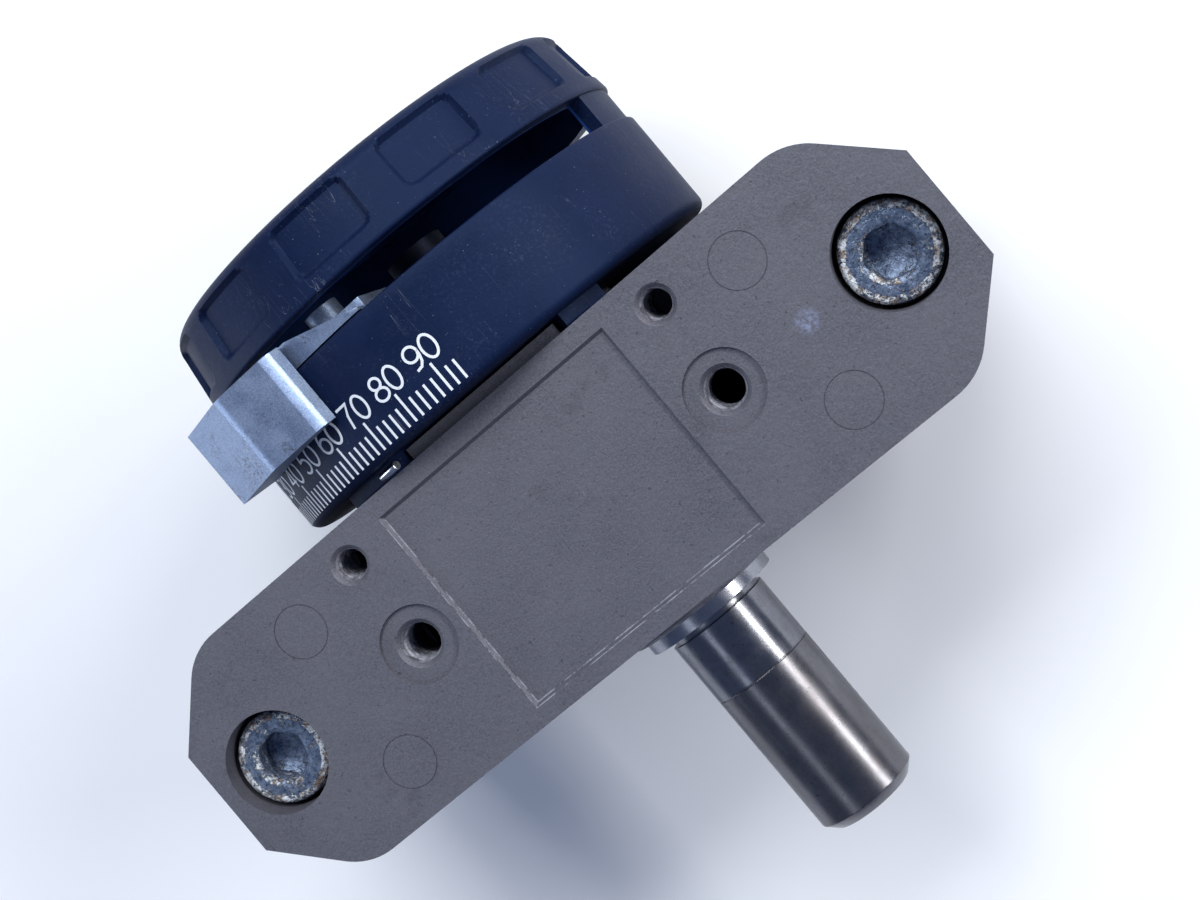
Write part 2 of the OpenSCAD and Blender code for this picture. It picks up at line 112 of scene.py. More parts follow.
class Paint:
    """A node material, with short calls for the nodes that every finish needs."""

    def __init__(self, name, metallic=0.0, specular=0.5):
        self.material = bpy.data.materials.new(name)
        self.material.use_nodes = True
        self.tree = self.material.node_tree
        self.shader = self.tree.nodes["Principled BSDF"]
        self.shader.inputs["Metallic"].default_value = metallic
        self.shader.inputs["Specular IOR Level"].default_value = specular
        self.place = self.node("ShaderNodeTexCoord").outputs["Object"]

    def node(self, kind, **settings):
        """A new node with those settings."""
        made = self.tree.nodes.new(kind)
        for key, value in settings.items():
            setattr(made, key, value)
        return made

    def put(self, socket, value):
        """Links a node's output to a socket, or sets a number, colour or place on it."""
        if isinstance(value, bpy.types.NodeSocket):
            self.tree.links.new(value, socket)
        elif isinstance(value, (tuple, list)) and len(value) == 3 and socket.type == "RGBA":
            socket.default_value = (*value, 1)
        else:
            socket.default_value = value

    def stretch(self, scale=(1, 1, 1), offset=(0, 0, 0)):
        """The object's place, stretched, so that a texture runs along one axis."""
        made = self.node("ShaderNodeMapping")
        self.put(made.inputs["Vector"], self.place)
        made.inputs["Scale"].default_value = scale
        made.inputs["Location"].default_value = offset
        return made.outputs["Vector"]

    def grain(self, size, detail=3, rough=0.55, place=None):
        """Noise whose features are about size metres wide, from 0 to 1."""
        made = self.node("ShaderNodeTexNoise")
        self.put(made.inputs["Vector"], place or self.place)
        made.inputs["Scale"].default_value = 1 / size
        made.inputs["Detail"].default_value = detail
        made.inputs["Roughness"].default_value = rough
        return made.outputs["Fac"]

    def span(self, value, low, high, to_low=0.0, to_high=1.0):
        """Maps low..high to to_low..to_high, cut off at both ends."""
        made = self.node("ShaderNodeMapRange")
        self.put(made.inputs["Value"], value)
        for name, number in zip(("From Min", "From Max", "To Min", "To Max"),
                                (low, high, to_low, to_high)):
            made.inputs[name].default_value = number
        return made.outputs["Result"]

    def away(self, spot):
        """The distance in metres from a fixed spot on the object."""
        made = self.node("ShaderNodeVectorMath", operation="DISTANCE")
        self.put(made.inputs[0], self.place)
        made.inputs[1].default_value = spot
        return made.outputs["Value"]

    def math(self, operation, first, second=0.0):
        made = self.node("ShaderNodeMath", operation=operation)
        self.put(made.inputs[0], first)
        self.put(made.inputs[1], second)
        return made.outputs["Value"]

    def mix(self, share, first, second):
        """The first colour at share 0, the second at share 1."""
        made = self.node("ShaderNodeMix", data_type="RGBA")
        self.put(made.inputs["Factor"], share)
        self.put(made.inputs[6], first)
        self.put(made.inputs[7], second)
        return made.outputs[2]

    def axis(self, name):
        """The object's place along X, Y or Z."""
        made = self.node("ShaderNodeSeparateXYZ")
        self.put(made.inputs["Vector"], self.place)
        return made.outputs[name]

    def bump(self, *layers):
        """Layers of (height, depth in metres), one on top of the other."""
        normal = None
        for height, depth in layers:
            made = self.node("ShaderNodeBump")
            made.inputs["Strength"].default_value = 1.0
            made.inputs["Distance"].default_value = depth
            self.put(made.inputs["Height"], height)
            if normal is not None:
                self.put(made.inputs["Normal"], normal)
            normal = made.outputs["Normal"]
        self.put(self.shader.inputs["Normal"], normal)

    def colour(self, value):
        self.put(self.shader.inputs["Base Color"], value)

    def roughness(self, value):
        self.put(self.shader.inputs["Roughness"], value)


def shaded(colour, share):
    """A colour made lighter or darker by that share."""
    return tuple(share * channel for channel in colour)


def scratches(paint, size, width, seed):
    """Thin lines from 0 to 1, in a direction of their own for each seed."""
    turned = paint.node("ShaderNodeMapping")
    paint.put(turned.inputs["Vector"], paint.place)
    turned.inputs["Rotation"].default_value = (0.3 * seed, 0.7 * seed, 1.1 * seed)
    turned.inputs["Scale"].default_value = (1, 0.035, 1)
    lines = paint.grain(size, 2, 0.4, turned.outputs["Vector"])
    spots = paint.grain(size * 9, 2, 0.5, paint.stretch(offset=(seed, 0, 0)))
    line = paint.span(paint.math("ABSOLUTE", paint.math("SUBTRACT", lines, 0.5)), 0, width, 1, 0)
    return paint.math("MULTIPLY", line, paint.span(spots, 0.56, 0.68))


def casting(name, worn=0.0, smudge=None):
    """Blasted die casting: fine speckle, faint clouds and dark specks.
    worn is the share of bright metal, smudge the place of a small pale rub mark."""
    paint = Paint(name, metallic=0.45, specular=0.4)
    clouds = paint.grain(9 * MM, 4, 0.6)
    fine = paint.grain(0.22 * MM, 3, 0.7)
    coarse = paint.grain(0.75 * MM, 3, 0.6)
    base = paint.mix(paint.span(clouds, 0.32, 0.7), (0.084, 0.083, 0.100), (0.108, 0.107, 0.127))
    base = paint.mix(paint.span(fine, 0.36, 0.66), base, (0.128, 0.130, 0.158))
    specks = paint.span(paint.grain(0.42 * MM, 2, 0.5), 0.66, 0.74)
    base = paint.mix(paint.math("MULTIPLY", specks, 0.6), base, (0.036, 0.037, 0.050))
    bright = paint.span(paint.grain(0.2 * MM, 1, 0.5, paint.stretch(offset=(1, 2, 3))), 0.72, 0.78)
    base = paint.mix(paint.math("MULTIPLY", bright, 0.35), base, (0.24, 0.25, 0.28))
    grime = paint.span(paint.grain(5 * MM, 5, 0.7, paint.stretch(offset=(3, 1, 2))), 0.60, 0.74)
    base = paint.mix(paint.math("MULTIPLY", grime, 0.4), base, (0.048, 0.048, 0.058))
    if smudge:
        near = paint.span(paint.away(smudge), 0.5 * MM, 1.5 * MM, 0.75, 0)
        patchy = paint.span(paint.grain(0.5 * MM, 4, 0.7), 0.40, 0.60)
        base = paint.mix(paint.math("MULTIPLY", near, patchy), base, (0.24, 0.28, 0.42))
    if worn:
        rub = paint.span(paint.grain(1.3 * MM, 4, 0.7), 0.42, 0.58)
        base = paint.mix(paint.math("MULTIPLY", rub, worn), base, (0.36, 0.37, 0.42))
    paint.colour(base)
    paint.roughness(paint.span(clouds, 0.3, 0.7, 0.50, 0.64))
    lines = scratches(paint, 0.5 * MM, 0.006, 2)
    paint.bump((coarse, 0.05 * MM), (fine, 0.035 * MM), (lines, 0.01 * MM))
    return paint.material


def inside_cover(paint):
    """1 on the walls inside the scale cover and 0 on its outer skin: where the painted fill light goes.
    """
    squares = [paint.math("MULTIPLY", paint.axis(name), paint.axis(name)) for name in "XZ"]
    radius = paint.math("SQRT", paint.math("ADD", *squares))
    deep = paint.math("LESS_THAN", radius, COVER_R - COVER_WALL + 0.1 * MM)
    above = paint.math("GREATER_THAN", paint.axis("Y"), RIM_Y + COVER_WALL - 0.1 * MM)
    below = paint.math("LESS_THAN", paint.axis("Y"), COVER_END - COVER_WALL + 0.05 * MM)
    return paint.math("MULTIPLY", deep, paint.math("MULTIPLY", above, below))


def moulded(name):
    """Navy satin plastic with dust, specks and scratches, its inner walls painted a lighter blue as
    fill light in their shade.
    """
    paint = Paint(name, specular=0.16)
    paint.shader.inputs["Specular Tint"].default_value = (0.50, 0.68, 1.0, 1)
    clouds = paint.grain(7 * MM, 4, 0.6)
    fine = paint.grain(0.16 * MM, 2, 0.6)
    leather = paint.grain(0.55 * MM, 3, 0.6)
    base = paint.mix(paint.span(clouds, 0.3, 0.7), (0.0024, 0.0068, 0.029), (0.0052, 0.0112, 0.041))
    powder = paint.span(paint.grain(0.35 * MM, 4, 0.75), 0.52, 0.72)
    patch = paint.span(paint.grain(6 * MM, 3, 0.6, paint.stretch(offset=(5, 2, 1))), 0.44, 0.66)
    haze = paint.math("MULTIPLY", paint.math("MULTIPLY", powder, patch), 0.12)
    base = paint.mix(haze, base, (0.15, 0.18, 0.28))
    marks = paint.math("MAXIMUM", scratches(paint, 0.9 * MM, 0.004, 1),
                       scratches(paint, 1.1 * MM, 0.004, 3))
    base = paint.mix(paint.math("MULTIPLY", marks, 0.35), base, (0.24, 0.27, 0.34))
    specks = paint.span(paint.grain(0.24 * MM, 1, 0.5, paint.stretch(offset=(7, 7, 2))), 0.76, 0.80)
    base = paint.mix(paint.math("MULTIPLY", specks, 0.35), base, (0.30, 0.33, 0.42))
    # Painted fill light: a lighter blue on the inner walls stands in for light in the shaded slot.
    base = paint.mix(inside_cover(paint), base, (0.012, 0.042, 0.17))
    paint.colour(base)
    paint.roughness(paint.span(clouds, 0.3, 0.7, 0.46, 0.60))
    paint.bump((leather, 0.03 * MM), (fine, 0.012 * MM), (marks, 0.01 * MM))
    return paint.material


def zinc(name, light=1.0, rusty=1.0, stained=None):
    """Blue-bright zinc plating over pressed steel, with fine speckle, dull places and stains.
    stained is the place of a brown patch."""
    paint = Paint(name, metallic=0.7, specular=0.4)
    clouds = paint.grain(2.6 * MM, 4, 0.6)
    fine = paint.grain(0.14 * MM, 3, 0.7)
    base = paint.mix(paint.span(clouds, 0.3, 0.7), shaded((0.135, 0.185, 0.295), light),
                     shaded((0.195, 0.255, 0.375), light))
    base = paint.mix(paint.math("MULTIPLY", paint.span(fine, 0.42, 0.7), 0.36), base,
                     shaded((0.55, 0.64, 0.80), light))
    dull = paint.span(paint.grain(0.3 * MM, 4, 0.7, paint.stretch(offset=(6, 2, 8))), 0.52, 0.66)
    base = paint.mix(paint.math("MULTIPLY", dull, 0.35), base, shaded((0.10, 0.13, 0.20), light))
    spots = paint.span(paint.grain(0.4 * MM, 3, 0.7, paint.stretch(offset=(2, 4, 1))), 0.50, 0.62)
    stain = paint.span(paint.grain(3.2 * MM, 3, 0.6, paint.stretch(offset=(1, 7, 4))), 0.52, 0.64)
    if stained:
        near = paint.span(paint.away(stained), 1.2 * MM, 3.2 * MM, 1, 0)
        stain = paint.math("MAXIMUM", stain, near)
    rust = paint.math("MULTIPLY", paint.math("MULTIPLY", spots, stain), 0.7 * rusty)
    base = paint.mix(rust, base, (0.07, 0.06, 0.055))
    paint.colour(base)
    paint.roughness(paint.span(clouds, 0.3, 0.7, 0.34, 0.48))
    paint.bump((paint.grain(0.5 * MM, 3, 0.6), 0.02 * MM), (fine, 0.014 * MM))
    return paint.material


FILM_TINT = (0.528, 0.4704, 0.4224)   # what the film leaves of the red, green and blue


def ground_steel(name, base_colour, stain=1.0, rough=(0.16, 0.30), turned=True, dirty_end=None):
    """Ground steel with brown stains, pits, and fine rings where turned or lines where not.
    Beyond the place dirty_end along the shaft it has a dull brownish film."""
    paint = Paint(name, metallic=1.0)
    clouds = paint.grain(3 * MM, 4, 0.65)
    rings = paint.grain(0.07 * MM, 2, 0.5, paint.stretch((0.02, 1, 0.02) if turned else (1, 0.02, 1)))
    base = paint.mix(paint.span(clouds, 0.3, 0.7), shaded(base_colour, 0.80), base_colour)
    base = paint.mix(paint.math("MULTIPLY", paint.span(rings, 0.4, 0.7), 0.22), base,
                     shaded(base_colour, 1.35))
    dirt = paint.span(paint.grain(1.5 * MM, 5, 0.7, paint.stretch((1, 0.35, 1), (3, 0, 5))), 0.50, 0.72)
    base = paint.mix(paint.math("MULTIPLY", dirt, 0.40 * stain), base, (0.085, 0.070, 0.062))
    if dirty_end is not None:
        beyond = paint.span(paint.axis("Y"), dirty_end - 0.05 * MM, dirty_end + 0.05 * MM, 1, 0)
        patches = paint.grain(2.2 * MM, 4, 0.6, paint.stretch((1, 0.4, 1), (2, 1, 9)))
        film = paint.math("MULTIPLY", paint.span(patches, 0.3, 0.7, 0.35, 0.75), beyond)
        brown = tuple(channel * share for channel, share in zip(base_colour, FILM_TINT))
        base = paint.mix(film, base, brown)
        dirt = paint.math("MAXIMUM", dirt, paint.math("MULTIPLY", film, 1.1))
    pits = paint.span(paint.grain(0.28 * MM, 2, 0.6, paint.stretch(offset=(8, 3, 1))), 0.64, 0.70)
    base = paint.mix(paint.math("MULTIPLY", pits, 0.7 * stain), base, (0.05, 0.045, 0.05))
    paint.colour(base)
    wet = paint.span(clouds, 0.3, 0.7, *rough)
    paint.roughness(paint.math("ADD", wet, paint.math("MULTIPLY", dirt, 0.12 * stain)))
    paint.bump((rings, 0.004 * MM), (paint.grain(1.6 * MM, 2, 0.5), 0.003 * MM))
    return paint.material


def crusted_screw(name):
    """Blue-grey zinc with white and brown corrosion round the rim and in the socket."""
    paint = Paint(name, metallic=0.55, specular=0.5)
    clouds = paint.grain(0.8 * MM, 4, 0.7)
    base = paint.mix(paint.span(clouds, 0.35, 0.65), (0.045, 0.068, 0.125), (0.17, 0.22, 0.31))
    crust = paint.grain(0.42 * MM, 4, 0.75)
    tint = paint.grain(0.8 * MM, 3, 0.6, paint.stretch(offset=(4, 4, 1)))
    white = paint.mix(paint.span(tint, 0.46, 0.62), (0.70, 0.74, 0.78), (0.30, 0.22, 0.17))
    attribute = paint.node("ShaderNodeAttribute", attribute_name="crust")
    patches = paint.grain(1.3 * MM, 2, 0.5, paint.stretch(offset=(6, 1, 3)))
    grown = paint.math("ADD", crust, paint.span(attribute.outputs["Fac"], 0, 1, -0.20, 0.10))
    grown = paint.math("ADD", grown, paint.span(patches, 0.35, 0.65, -0.08, 0.08))
    share = paint.span(grown, 0.50, 0.60)
    base = paint.mix(share, base, white)
    pits = paint.span(paint.grain(0.26 * MM, 2, 0.6, paint.stretch(offset=(1, 8, 3))), 0.58, 0.64)
    base = paint.mix(paint.math("MULTIPLY", pits, 0.8), base, (0.02, 0.024, 0.040))
    paint.colour(base)
    paint.roughness(paint.span(share, 0, 1, 0.34, 0.75))
    paint.bump((clouds, 0.10 * MM), (paint.math("MULTIPLY", share, crust), 0.32 * MM),
               (paint.grain(0.15 * MM, 2, 0.6), 0.04 * MM))
    return paint.material


def rubber(name, base_colour):
    """Matte elastomer with a fine moulded grain."""
    paint = Paint(name, specular=0.3)
    fine = paint.grain(0.25 * MM, 3, 0.6)
    paint.colour(paint.mix(paint.span(fine, 0.35, 0.7), base_colour, shaded(base_colour, 1.8)))
    paint.roughness(paint.span(paint.grain(2 * MM), 0.3, 0.7, 0.62, 0.8))
    paint.bump((fine, 0.015 * MM))
    return paint.material


def soft_metal(name, base_colour, rough=(0.3, 0.45)):
    """Bronze, brass or machined alloy with cutting marks and clouds."""
    paint = Paint(name, metallic=1.0)
    clouds = paint.grain(2 * MM, 4, 0.6)
    lines = paint.grain(0.12 * MM, 2, 0.5, paint.stretch((0.04, 1, 0.04)))
    base = paint.mix(paint.span(clouds, 0.3, 0.7), shaded(base_colour, 0.75), base_colour)
    paint.colour(paint.mix(paint.math("MULTIPLY", lines, 0.2), base, shaded(base_colour, 0.5)))
    paint.roughness(paint.span(clouds, 0.3, 0.7, *rough))
    paint.bump((lines, 0.008 * MM))
    return paint.material


def scale_white(name):
    """White dial print, a little worn."""
    paint = Paint(name, specular=0.35)
    gaps = paint.span(paint.grain(0.3 * MM, 3, 0.7), 0.60, 0.72)
    paint.colour(paint.mix(paint.math("MULTIPLY", gaps, 0.45), (0.66, 0.70, 0.74), (0.16, 0.19, 0.26)))
    paint.roughness(paint.span(gaps, 0, 1, 0.5, 0.62))
    paint.bump((paint.grain(0.1 * MM, 2), 0.004 * MM))
    return paint.material


def pale_floor(name):
    """Almost white matte paper."""
    paint = Paint(name, specular=0.2)
    paper = paint.grain(30 * MM, 3, 0.5)
    paint.colour(paint.mix(paper, (0.84, 0.85, 0.87), (0.88, 0.89, 0.90)))
    paint.roughness(0.9)
    return paint.material


SCORE_Y = -11.54 * MM                 # scored ring on the output shaft
SMUDGE = (30.2 * MM, MID_Y, FACE_Z)   # pale rub mark on the port face
# Brown patch on the first stop
STAIN = (STOP_LOW.x + 4.6 * MM, STOP_LOW.y + 1.8 * MM, STOP_HIGH.z - 2.7 * MM)

FINISH = {
    "housing": casting("housing_casting", smudge=SMUDGE),
    "gasket": rubber("gasket_sheet", (0.02, 0.02, 0.024)),
    "corroded_screw": crusted_screw("crusted_screw"),
    "pin_steel": ground_steel("pin_steel", (0.62, 0.64, 0.68), 0.3, turned=False),
    "pilot_alloy": casting("pilot_casting", 0.25),
    "collar_steel": ground_steel("collar_steel", (0.30, 0.31, 0.35), 0.5, (0.20, 0.30)),
    # Painted shade: this steel is made navy-dark to stand in for the shade on the parts inside the
    # cover, seen through the slot.
    "dark_steel": ground_steel("dark_steel", (0.035, 0.042, 0.070), 0.5, (0.48, 0.6)),
    "seal_rubber": rubber("seal_rubber", (0.016, 0.016, 0.018)),
    "bronze": soft_metal("sintered_bronze", (0.55, 0.36, 0.18)),
    "spring_steel": ground_steel("spring_steel", (0.17, 0.18, 0.21), 0.4, (0.28, 0.42)),
    "brass_shim": soft_metal("brass_shim", (0.72, 0.55, 0.25), (0.2, 0.32)),
    "shaft_steel": ground_steel("shaft_steel", (0.19, 0.195, 0.22), 1.0, (0.19, 0.25),
                                dirty_end=SCORE_Y),
    "vane_alloy": soft_metal("vane_alloy", (0.60, 0.61, 0.64)),
    "lever_steel": ground_steel("lever_steel", (0.20, 0.21, 0.25), 0.7, (0.34, 0.5)),
    "buffer_rubber": rubber("buffer_rubber", (0.30, 0.045, 0.03)),
    "zinc_steel": zinc("bright_zinc", 0.7, 0.3),
    "stop_zinc": zinc("stop_zinc", stained=STAIN),
    "ring_steel": ground_steel("ring_steel", (0.030, 0.036, 0.060), 0.5, (0.40, 0.55)),
    "cover_plastic": moulded("cover_plastic"),
}
WORN_CASTING = casting("worn_casting_edge", 0.85)
# Lighter zinc for the stops' bevels and second bend: partly worn metal, partly a painted highlight on
# those edges.
WORN_ZINC_AND_HIGHLIGHT = zinc("worn_zinc_edge_and_highlight", 1.7, 0.1)
PRINT = scale_white("scale_print")


# ---------------------------------------------------------------- pieces

def new_piece(name, mesh, body, finish, smooth=40):
    """Puts a mesh in the scene, shades it, and lets it ride on a body."""
    piece = bpy.data.objects.new(name, mesh)
    bpy.context.scene.collection.objects.link(piece)
    mesh.materials.append(finish)
    mesh.shade_smooth()
    mesh.set_sharp_from_angle(angle=math.radians(smooth))
    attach(piece, body)
    return piece


def finish_mesh(name, built):
    """The mesh of what was built, its faces turned outward."""
    mesh = bpy.data.meshes.new(name)
    bmesh.ops.recalc_face_normals(built, faces=built.faces)
    built.to_mesh(mesh)
    built.free()
    return mesh


def on_shaft(radius, angle, y):
    """The point at that radius, in degrees from +Z towards +X, and that far along the shaft."""
    turn = math.radians(angle)
    return Vector((radius * math.sin(turn), y, radius * math.cos(turn)))


def join_rings(built, here, there):
    """Faces between two closed rings of points, one to one."""
    for i in range(len(here)):
        j = (i + 1) % len(here)
        built.faces.new((here[i], here[j], there[j], there[i]))


def lathe(built, profile, steps, start=0.0, sweep=360.0, press=None):
    """Turns a closed profile of (radius, y) round the shaft. A sweep under 360 gets end faces.
    press(angle, radius, y) may give back a changed radius."""
    whole = sweep >= 360
    rings = []
    for i in range(steps if whole else steps + 1):
        angle = start + sweep * i / steps
        row = []
        for radius, y in profile:
            pressed = press(angle, radius, y) if press else radius
            row.append(built.verts.new(on_shaft(pressed, angle, y)))
        rings.append(row)
    for i in range(steps):
        join_rings(built, rings[i], rings[(i + 1) % len(rings)])
    if not whole:
        built.faces.new(rings[0])
        built.faces.new(list(reversed(rings[-1])))


def arc(centre, radius, first, last, steps):
    """Points of an arc in the plane of a profile, angles in degrees."""
    turns = [math.radians(first + (last - first) * i / steps) for i in range(steps + 1)]
    return [(centre[0] + radius * math.cos(t), centre[1] + radius * math.sin(t)) for t in turns]


def smooth_step(low, high, value):
    """Rises from 0 at low to 1 at high, level at both ends."""
    share = min(1.0, max(0.0, (value - low) / (high - low)))
    return share * share * (3 - 2 * share)


GRIP_COUNT = 12                       # finger recesses round the cap
GRIP_FIRST = 2.0                      # angle of the middle of one of them
GRIP_HALF = (4.75 * MM, 2.85 * MM)    # half length along the rim, half height
GRIP_Y = COVER_END - 4.0 * MM
GRIP_ROUND = 1.1 * MM
GRIP_EDGE = (0.06 * MM, -0.34 * MM)   # start and end of its sloping edge, outward of its outline
GRIP_DEPTH = 0.65 * MM

INNER_R = COVER_R - COVER_WALL
NECK_R = 14.2 * MM                    # opening in the cover's floor
DRUM_ROUND, LIP_ROUND = 1.1 * MM, 0.25 * MM
CAP_START_R, CAP_CROWN_R = COVER_R - 0.1 * MM, COVER_R - 0.95 * MM    # its cone narrows a little
CAP_LIP, CAP_CROWN = 0.3 * MM, 1.9 * MM    # roundings of its two edges
CAP_ROWS = 34
BRIDGE_STEP = 0.45 * MM               # how far the bridge stands back from the drum
FEET = ((-34.6, 10.9), (36.4, 6.2), (130, 10.9), (210, 10.9))    # middle and half angle
FOOT_R = (15 * MM, 24.4 * MM)
FOOT_ROUND = 0.3 * MM


def grip_press(angle, radius, y):
    """Sinks the finger recesses into the cap's outer face."""
    if radius < CAP_CROWN_R - CAP_CROWN - 0.05 * MM or y < SLOT_Y1 + 0.2 * MM:
        return radius
    pitch = 360 / GRIP_COUNT
    away = (angle - GRIP_FIRST + pitch / 2) % pitch - pitch / 2
    along = abs(math.radians(away) * radius) - (GRIP_HALF[0] - GRIP_ROUND)
    up = abs(y - GRIP_Y) - (GRIP_HALF[1] - GRIP_ROUND)
    outside = math.hypot(max(along, 0), max(up, 0)) + min(max(along, up), 0) - GRIP_ROUND
    return radius - GRIP_DEPTH * smooth_step(GRIP_EDGE[0], GRIP_EDGE[1], outside)


def add_drum(built):
    """The drum that carries the scale, with a ledge for the clamping ring inside."""
    ledge = INNER_R - 1 * MM
    drum = [(NECK_R, RIM_Y)]
    drum += arc((COVER_R - DRUM_ROUND, RIM_Y + DRUM_ROUND), DRUM_ROUND, -90, 0, 8)
    drum += [(COVER_R, RIM_Y + (SLOT_Y0 - RIM_Y) * t / 8) for t in range(2, 8)]
    drum += arc((COVER_R - LIP_ROUND, SLOT_Y0 - LIP_ROUND), LIP_ROUND, 0, 90, 3)
    drum += [(INNER_R, SLOT_Y0), (INNER_R, RING_Y), (ledge, RING_Y), (ledge, RING_Y - 1.2 * MM),
             (INNER_R, RING_Y - 2.2 * MM), (INNER_R, RIM_Y + COVER_WALL), (NECK_R, RIM_Y + COVER_WALL)]
    lathe(built, drum, 240)


def add_cap(built):
    """The slightly conical grip cap with its rounded crown and finger recesses."""
    start, cone_end = SLOT_Y1 + CAP_LIP, COVER_END - CAP_CROWN
    cap = arc((CAP_START_R - CAP_LIP, start), CAP_LIP, -90, 0, 3)
    cap += [(CAP_START_R + (CAP_CROWN_R - CAP_START_R) * (t / CAP_ROWS),
             start + (cone_end - SLOT_Y1 - CAP_LIP) * t / CAP_ROWS) for t in range(1, CAP_ROWS)]
    cap += arc((CAP_CROWN_R - CAP_CROWN, cone_end), CAP_CROWN, 0, 90, 10)
    cap += [(CAP_R + 0.6 * MM, COVER_END), (CAP_R + 0.08 * MM, COVER_END - LIP_ROUND),
            (CAP_R + 0.05 * MM, COVER_END - COVER_WALL), (INNER_R - 1 * MM, COVER_END - COVER_WALL),
            (INNER_R - 0.5 * MM, SLOT_Y1)]
    lathe(built, cap, 720, press=grip_press)


def add_bridge(built):
    """The stretch that closes the slot and holds the cap."""
    inner, outer = INNER_R - 0.2 * MM, COVER_R - BRIDGE_STEP
    low, high = SLOT_Y0 - 0.3 * MM, SLOT_Y1 + 0.35 * MM
    lathe(built, [(inner, low), (outer, low), (outer, high), (inner, high)], 24,
          BRIDGE[0], BRIDGE[1] - BRIDGE[0])


def add_foot(built, middle, half):
    """A foot between the drum and the housing, over an angle of half to both sides of middle."""
    inner, outer = FOOT_R
    top = RIM_Y + 0.4 * MM
    foot = [(inner, BODY_W), (outer - FOOT_ROUND, BODY_W)]
    foot += arc((outer - FOOT_ROUND, BODY_W + FOOT_ROUND), FOOT_ROUND, -60, 0, 3)
    foot += [(outer, top), (inner, top)]
    lathe(built, foot, 16, middle - half, 2 * half)


def cover_shell():
    """The scale cover: drum, grip cap, bridge and four feet, each a closed turned shape."""
    built = bmesh.new()
    add_drum(built)
    add_cap(built)
    add_bridge(built)
    for middle, half in FEET:
        add_foot(built, middle, half)
    mesh = finish_mesh("cover_shell", built)
    piece = new_piece("cover_shell", mesh, "housing", FINISH["cover_plastic"], 32)
    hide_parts("scale_cover")


def on_drum(built, points, faces, middle, y):
    """Wraps a flat outline (metres, x along the rim, y along the shaft) onto the drum as thin print."""
    lower, upper = [], []
    for row, radius in ((lower, COVER_R + PRINT_LIFT), (upper, COVER_R + PRINT_LIFT + PRINT_THICK)):
        for along, up in points:
            angle = middle + math.degrees(along / COVER_R)
            row.append(built.verts.new(on_shaft(radius, angle, y + up)))
    edges = {}
    for face in faces:
        built.faces.new([upper[i] for i in face])
        built.faces.new([lower[i] for i in reversed(face)])
        for a, b in zip(face, face[1:] + face[:1]):
            edges[(a, b)] = True
    for a, b in edges:
        if (b, a) not in edges:
            built.faces.new((lower[a], lower[b], upper[b], upper[a]))


PRINT_LIFT = -0.01 * MM               # the print is let into the drum by this much
PRINT_THICK = 0.035 * MM
TICK_Y = RIM_Y + 0.7 * MM
TICK_SHORT, TICK_LONG = 2.2 * MM, 3.3 * MM
TICK_HALF = 0.13 * MM
TICK_STEP, TICK_END = 2, 94           # degrees between two ticks, and of the last one
DIGIT_STEP, DIGIT_END = 10, 90
DIGIT_H = 2.45 * MM
DIGIT_W = 1.5 * MM
DIGIT_TALL = 1.7                      # height of a digit in digit_lines
DIGIT_SHIFT = 1.28 * DIGIT_W          # from one digit to the next
STROKE = 0.27 * MM
DIGIT_Y = RIM_Y + 5.35 * MM


def scale_ticks():
    """A tick every two degrees to both sides of the zero, a longer one every ten."""
    built = bmesh.new()
    for value in range(-TICK_END, TICK_END + 1, TICK_STEP):
        tall = TICK_LONG if value % DIGIT_STEP == 0 else TICK_SHORT
        outline = [(-TICK_HALF, 0), (TICK_HALF, 0), (TICK_HALF, tall), (-TICK_HALF, tall)]
        on_drum(built, outline, [[0, 1, 2, 3]], MID_ANGLE + value, TICK_Y)
    mesh = finish_mesh("scale_ticks", built)
    new_piece("scale_ticks", mesh, "housing", PRINT)


def ellipse(cx, cy, rx, ry, first, last, steps=22):
    """Points of part of an ellipse. Angles in degrees, anticlockwise from +x."""
    turns = [math.radians(first + (last - first) * i / steps) for i in range(steps + 1)]
    return [(cx + rx * math.cos(t), cy + ry * math.sin(t)) for t in turns]


def digit_lines(digit):
    """Centre lines of a digit in a box 1 wide and 1.7 high, its foot at y 0."""
    return {
        "0": [ellipse(0.5, 0.85, 0.5, 0.85, 0, 360, 32)],
        "1": [[(0.2, 1.35), (0.55, 1.7), (0.55, 0)]],
        "2": [ellipse(0.5, 1.22, 0.46, 0.48, 160, -35, 16) + [(0.04, 0), (1, 0)]],
        "3": [ellipse(0.46, 1.27, 0.42, 0.43, 150, -80, 16),
              ellipse(0.46, 0.44, 0.5, 0.44, 85, -150, 18)],
        "4": [[(1.0, 0.45), (0, 0.45), (0.72, 1.7), (0.72, 0)]],
        "5": [[(0.92, 1.7), (0.2, 1.7), (0.1, 0.92)] + ellipse(0.45, 0.54, 0.5, 0.54, 125, -145, 20)],
        "6": [ellipse(0.5, 0.53, 0.5, 0.53, 0, 360, 28),
              [(0.0, 0.53), (0.02, 0.9), (0.14, 1.32), (0.38, 1.6), (0.8, 1.68)]],
        "7": [[(0.0, 1.7), (0.98, 1.7), (0.55, 0.95), (0.36, 0.0)]],
        "8": [ellipse(0.5, 1.29, 0.41, 0.41, 0, 360, 26), ellipse(0.5, 0.44, 0.5, 0.44, 0, 360, 28)],
        "9": [ellipse(0.5, 1.17, 0.5, 0.53, 0, 360, 28),
              [(1.0, 1.17), (0.98, 0.8), (0.86, 0.38), (0.62, 0.1), (0.2, 0.02)]],
    }[digit]


